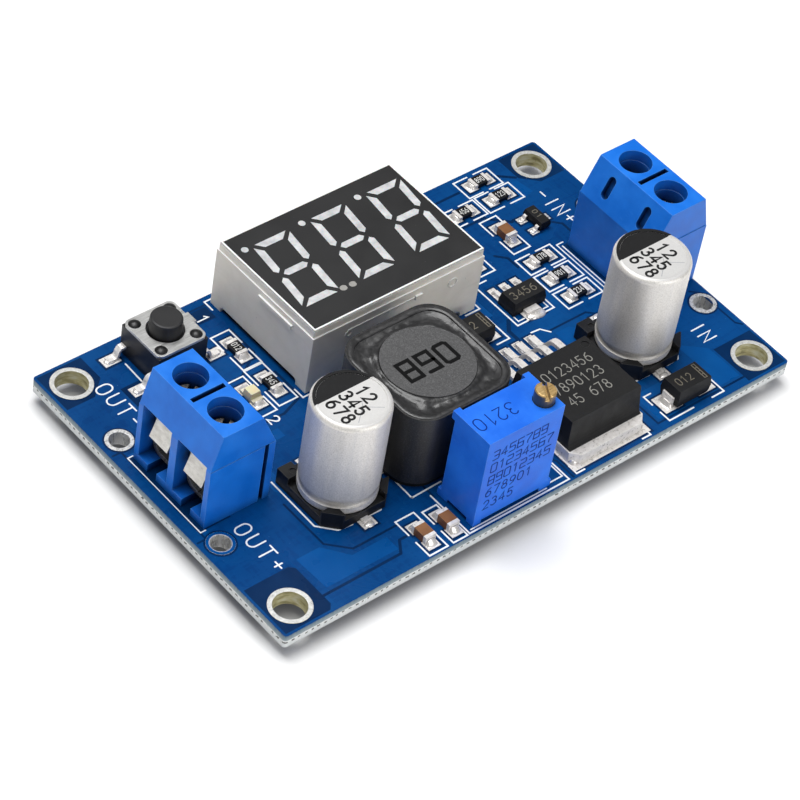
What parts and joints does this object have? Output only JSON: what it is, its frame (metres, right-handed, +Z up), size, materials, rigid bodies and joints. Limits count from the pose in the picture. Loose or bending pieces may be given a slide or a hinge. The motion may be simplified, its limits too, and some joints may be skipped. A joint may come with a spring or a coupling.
{
  "type": "buck converter module",
  "caption": "Adjustable step-down converter board with digit meter, screw terminals, shielded inductor, electrolytic capacitors, trimmer and push switch.",
  "frame": {"origin": "centre of the four-hole fixing pattern on the underside of the board", "axes": "+X along the board from the output terminal to the input terminal, +Y across the board from the trimmer's edge to the meter's edge, +Z up out of the component side"},
  "size_m": [0.066, 0.0396, 0.0157],
  "materials": {
    "board_laminate": "satin solder mask",
    "hole_plating": "pale plated metal",
    "tin": "bright tinned metal",
    "terminal_blue": "semi-gloss moulded plastic",
    "contact_metal": "plated strip",
    "leaf_metal": "plated spring strip",
    "screw_metal": "plated screw",
    "display_shell": "satin moulded plastic",
    "display_film": "matt printed face",
    "segment_resin": "milky resin",
    "potting_resin": "cast resin",
    "ferrite": "ground ferrite",
    "copper_wire": "enamelled copper",
    "inductor_glue": "glossy cured resin",
    "black_plastic": "moulded plastic",
    "can_aluminium": "satin drawn can",
    "package_resin": "moulded package",
    "trimmer_blue": "satin moulded plastic",
    "trimmer_brass": "turned brass",
    "switch_plate": "stamped plate",
    "resistor_body": "overglaze",
    "capacitor_body": "sintered ceramic",
    "lamp_lens": "milky lens"
  },
  "bodies": {
    "board": {"circuit_board": "board_laminate", "fixing_hole_rings": "hole_plating", "wire_hole_rings": "tin", "solder_pads": "tin", "solder_joints": "tin", "display_pins": "tin", "inductor_terminals": "tin", "left_can_leads": "tin", "right_can_leads": "tin", "trimmer_pins": "tin", "regulator_tab": "tin", "regulator_leads": "tin", "switch_leads": "tin", "input_diode_leads": "tin", "switching_diode_leads": "tin", "small_regulator_leads": "tin", "transistor_leads": "tin", "chip_ends": "tin", "indicator_base": "tin", "meter_chip_leads": "tin", "out_terminal_housing": "terminal_blue", "in_terminal_housing": "terminal_blue", "out_terminal_cages": "contact_metal", "in_terminal_cages": "contact_metal", "display_housing": "display_shell", "display_face": "display_film", "display_segments": "segment_resin", "display_potting": "potting_resin", "inductor_shield": "ferrite", "inductor_core": "ferrite", "inductor_winding": "copper_wire", "inductor_adhesive": "inductor_glue", "inductor_base": "black_plastic", "left_can_base": "black_plastic", "right_can_base": "black_plastic", "switch_housing": "black_plastic", "left_can": "can_aluminium", "right_can": "can_aluminium", "trimmer_body": "trimmer_blue", "regulator_body": "package_resin", "input_diode_body": "package_resin", "switching_diode_body": "package_resin", "small_regulator_body": "package_resin", "transistor_body": "package_resin", "meter_chip_body": "package_resin", "switch_cover": "switch_plate", "switch_dome": "switch_plate", "resistor_bodies": "resistor_body", "ceramic_capacitor_bodies": "capacitor_body", "indicator_lens": "lamp_lens"},
    "out_clamp_front": {"out_clamp_leaf_front": "leaf_metal"},
    "out_screw_front": {"out_screw_front": "screw_metal"},
    "out_clamp_back": {"out_clamp_leaf_back": "leaf_metal"},
    "out_screw_back": {"out_screw_back": "screw_metal"},
    "in_clamp_front": {"in_clamp_leaf_front": "leaf_metal"},
    "in_screw_front": {"in_screw_front": "screw_metal"},
    "in_clamp_back": {"in_clamp_leaf_back": "leaf_metal"},
    "in_screw_back": {"in_screw_back": "screw_metal"},
    "trimmer_adjuster": {"trimmer_screw": "trimmer_brass"},
    "button": {"switch_button": "black_plastic"}
  },
  "joints": [
    {"name": "out_clamp_front_slide", "type": "slide", "parent": "board", "child": "out_clamp_front", "axis": [0, 0, -1], "range_m": [0, 0.002]},
    {"name": "out_screw_front_turn", "type": "hinge", "parent": "out_clamp_front", "child": "out_screw_front", "pos_m": [-0.02765, -0.00225, 0.0068], "axis": [0, 0, -1], "range_deg": [0, 1440]},
    {"name": "out_clamp_back_slide", "type": "slide", "parent": "board", "child": "out_clamp_back", "axis": [0, 0, -1], "range_m": [0, 0.002]},
    {"name": "out_screw_back_turn", "type": "hinge", "parent": "out_clamp_back", "child": "out_screw_back", "pos_m": [-0.02765, 0.00305, 0.0068], "axis": [0, 0, -1], "range_deg": [0, 1440]},
    {"name": "in_clamp_front_slide", "type": "slide", "parent": "board", "child": "in_clamp_front", "axis": [0, 0, -1], "range_m": [0, 0.002]},
    {"name": "in_screw_front_turn", "type": "hinge", "parent": "in_clamp_front", "child": "in_screw_front", "pos_m": [0.02945, -0.00255, 0.0068], "axis": [0, 0, -1], "range_deg": [0, 1440]},
    {"name": "in_clamp_back_slide", "type": "slide", "parent": "board", "child": "in_clamp_back", "axis": [0, 0, -1], "range_m": [0, 0.002]},
    {"name": "in_screw_back_turn", "type": "hinge", "parent": "in_clamp_back", "child": "in_screw_back", "pos_m": [0.02945, 0.00275, 0.0068], "axis": [0, 0, -1], "range_deg": [0, 1440]},
    {"name": "trimmer_screw_turn", "type": "hinge", "parent": "board", "child": "trimmer_adjuster", "pos_m": [-0.00121, -0.01738, 0.013], "axis": [0, 0, 1], "continuous": true},
    {"name": "button_press", "type": "slide", "parent": "board", "child": "button", "axis": [0, 0, -1], "range_m": [0, 0.00025], "stiffness_N_per_m": 6000, "deforming": ["switch_dome"]}
  ],
  "couplings": [
    {"joint": "out_screw_front_turn", "follows": "out_clamp_front_slide", "rad_per_m": 12566},
    {"joint": "out_screw_back_turn", "follows": "out_clamp_back_slide", "rad_per_m": 12566},
    {"joint": "in_screw_front_turn", "follows": "in_clamp_front_slide", "rad_per_m": 12566},
    {"joint": "in_screw_back_turn", "follows": "in_clamp_back_slide", "rad_per_m": 12566}
  ]
}
